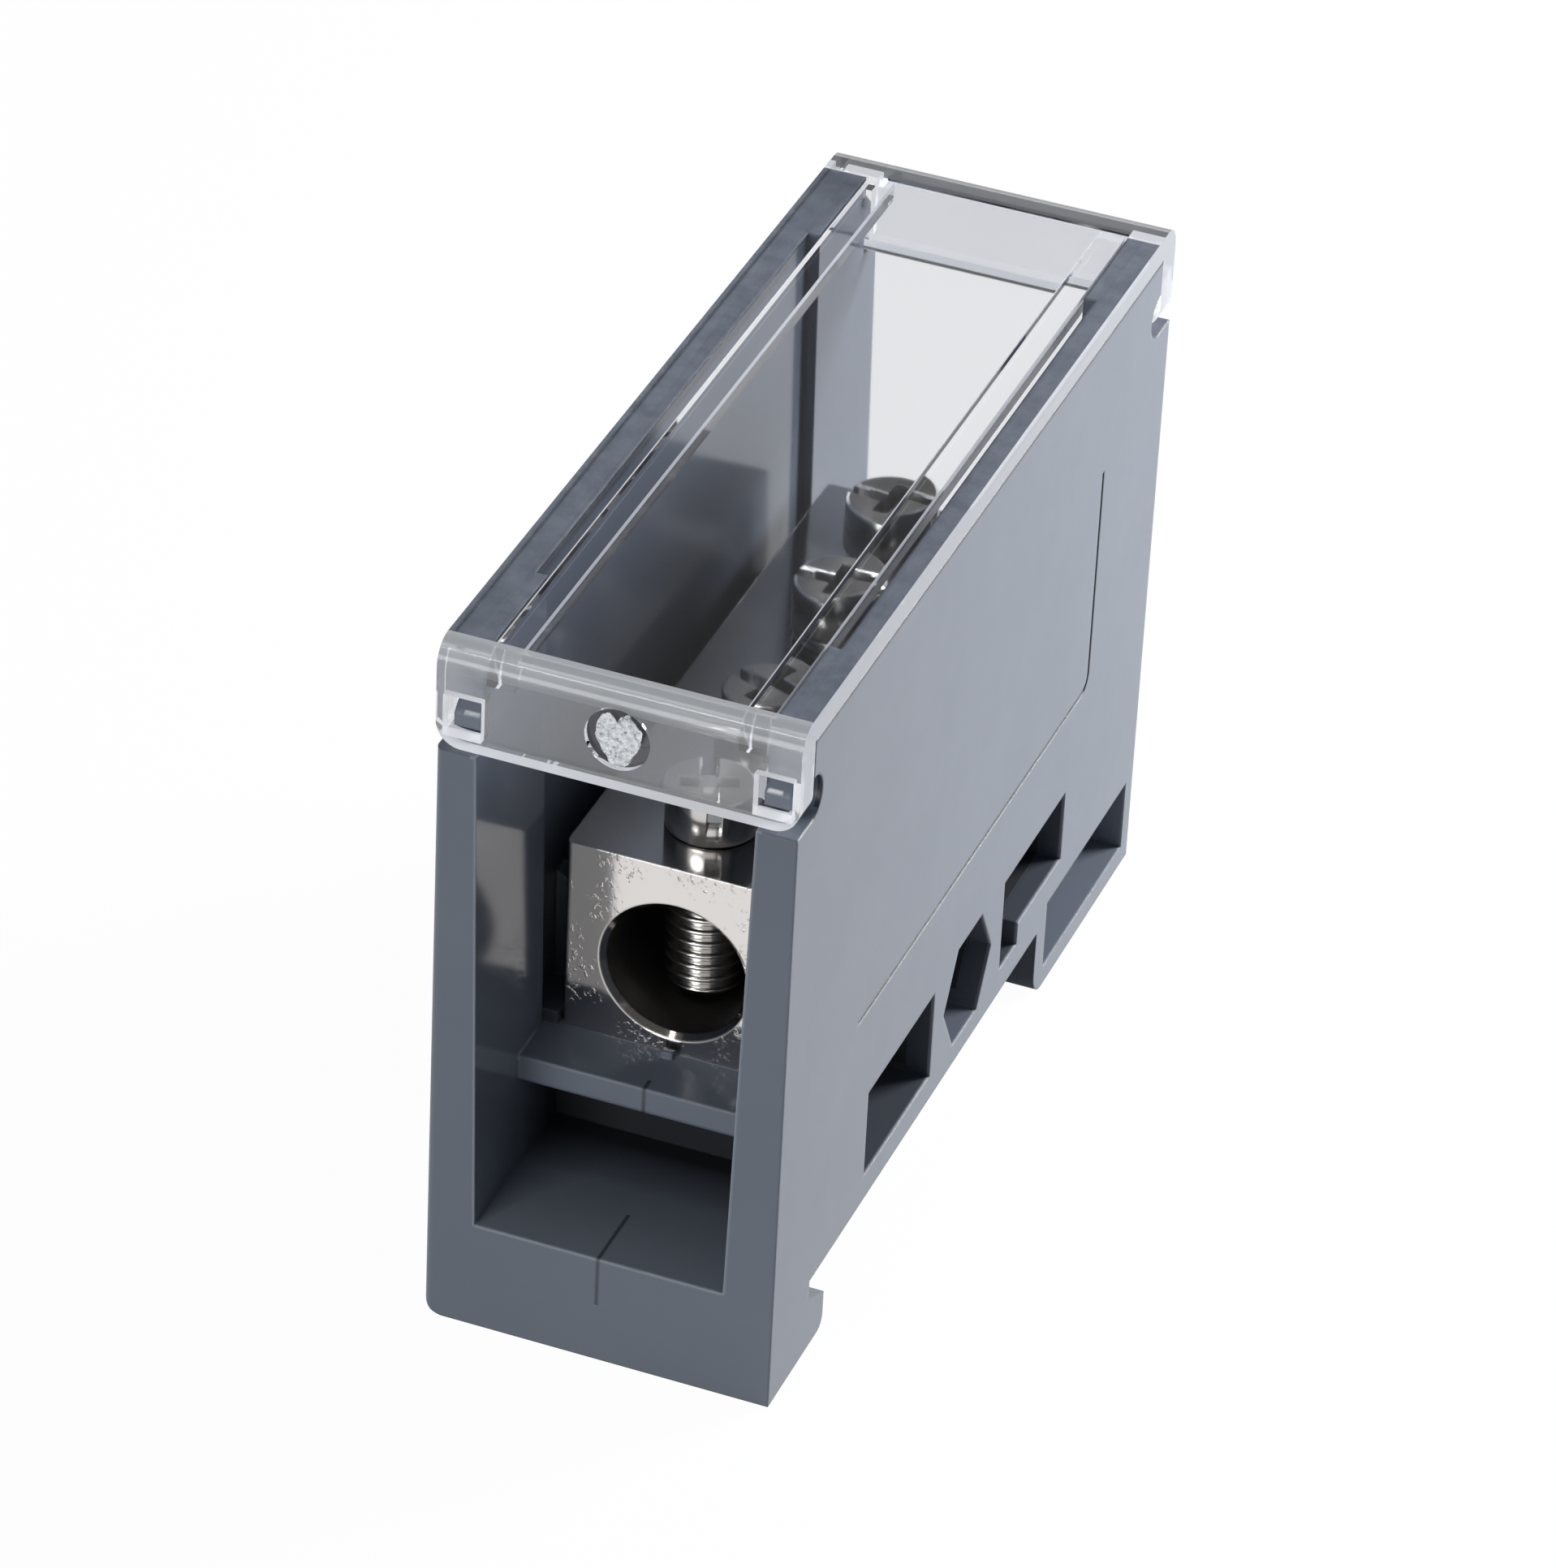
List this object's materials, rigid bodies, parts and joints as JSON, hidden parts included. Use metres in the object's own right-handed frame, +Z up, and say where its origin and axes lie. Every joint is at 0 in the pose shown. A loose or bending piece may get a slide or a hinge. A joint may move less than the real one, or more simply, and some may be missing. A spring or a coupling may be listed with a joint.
{
  "type": "power distribution block",
  "caption": "Rail-mounted single-pole distribution block: one through-bored metal block with clamp screws in a grey housing under a clear clip-on cover.",
  "frame": {"origin": "centre of the underside, at the feet", "axes": "+X across the width, towards the side wall with the marking field; +Y along the length, from the line side to the load side; +Z up, towards the cover"},
  "size_m": [0.021, 0.06, 0.045],
  "materials": {
    "housing_plastic": "fine moulded grain",
    "clear_plastic": "clear, moulded gloss",
    "plated_block": "bright nickel plating over extruded brass",
    "screw_steel": "bright zinc plating"
  },
  "bodies": {
    "housing": {"housing": "housing_plastic", "conductor_block": "plated_block"},
    "cover": {"cover": "clear_plastic"},
    "clamp_screw_1": {"clamp_screw_1": "screw_steel"},
    "clamp_screw_2": {"clamp_screw_2": "screw_steel"},
    "clamp_screw_3": {"clamp_screw_3": "screw_steel"},
    "clamp_screw_4": {"clamp_screw_4": "screw_steel"}
  },
  "joints": [
    {"name": "cover_lift", "type": "slide", "parent": "housing", "child": "cover", "axis": [0, 0, 1], "range_m": [0, 0.022]},
    {"name": "clamp_screw_1_travel", "type": "slide", "parent": "housing", "child": "clamp_screw_1", "axis": [0, 0, 1], "range_m": [0, 0.0081]},
    {"name": "clamp_screw_2_travel", "type": "slide", "parent": "housing", "child": "clamp_screw_2", "axis": [0, 0, 1], "range_m": [0, 0.0081]},
    {"name": "clamp_screw_3_travel", "type": "slide", "parent": "housing", "child": "clamp_screw_3", "axis": [0, 0, 1], "range_m": [-0.00095, 0.00715]},
    {"name": "clamp_screw_4_travel", "type": "slide", "parent": "housing", "child": "clamp_screw_4", "axis": [0, 0, 1], "range_m": [-0.00175, 0.00635]}
  ]
}
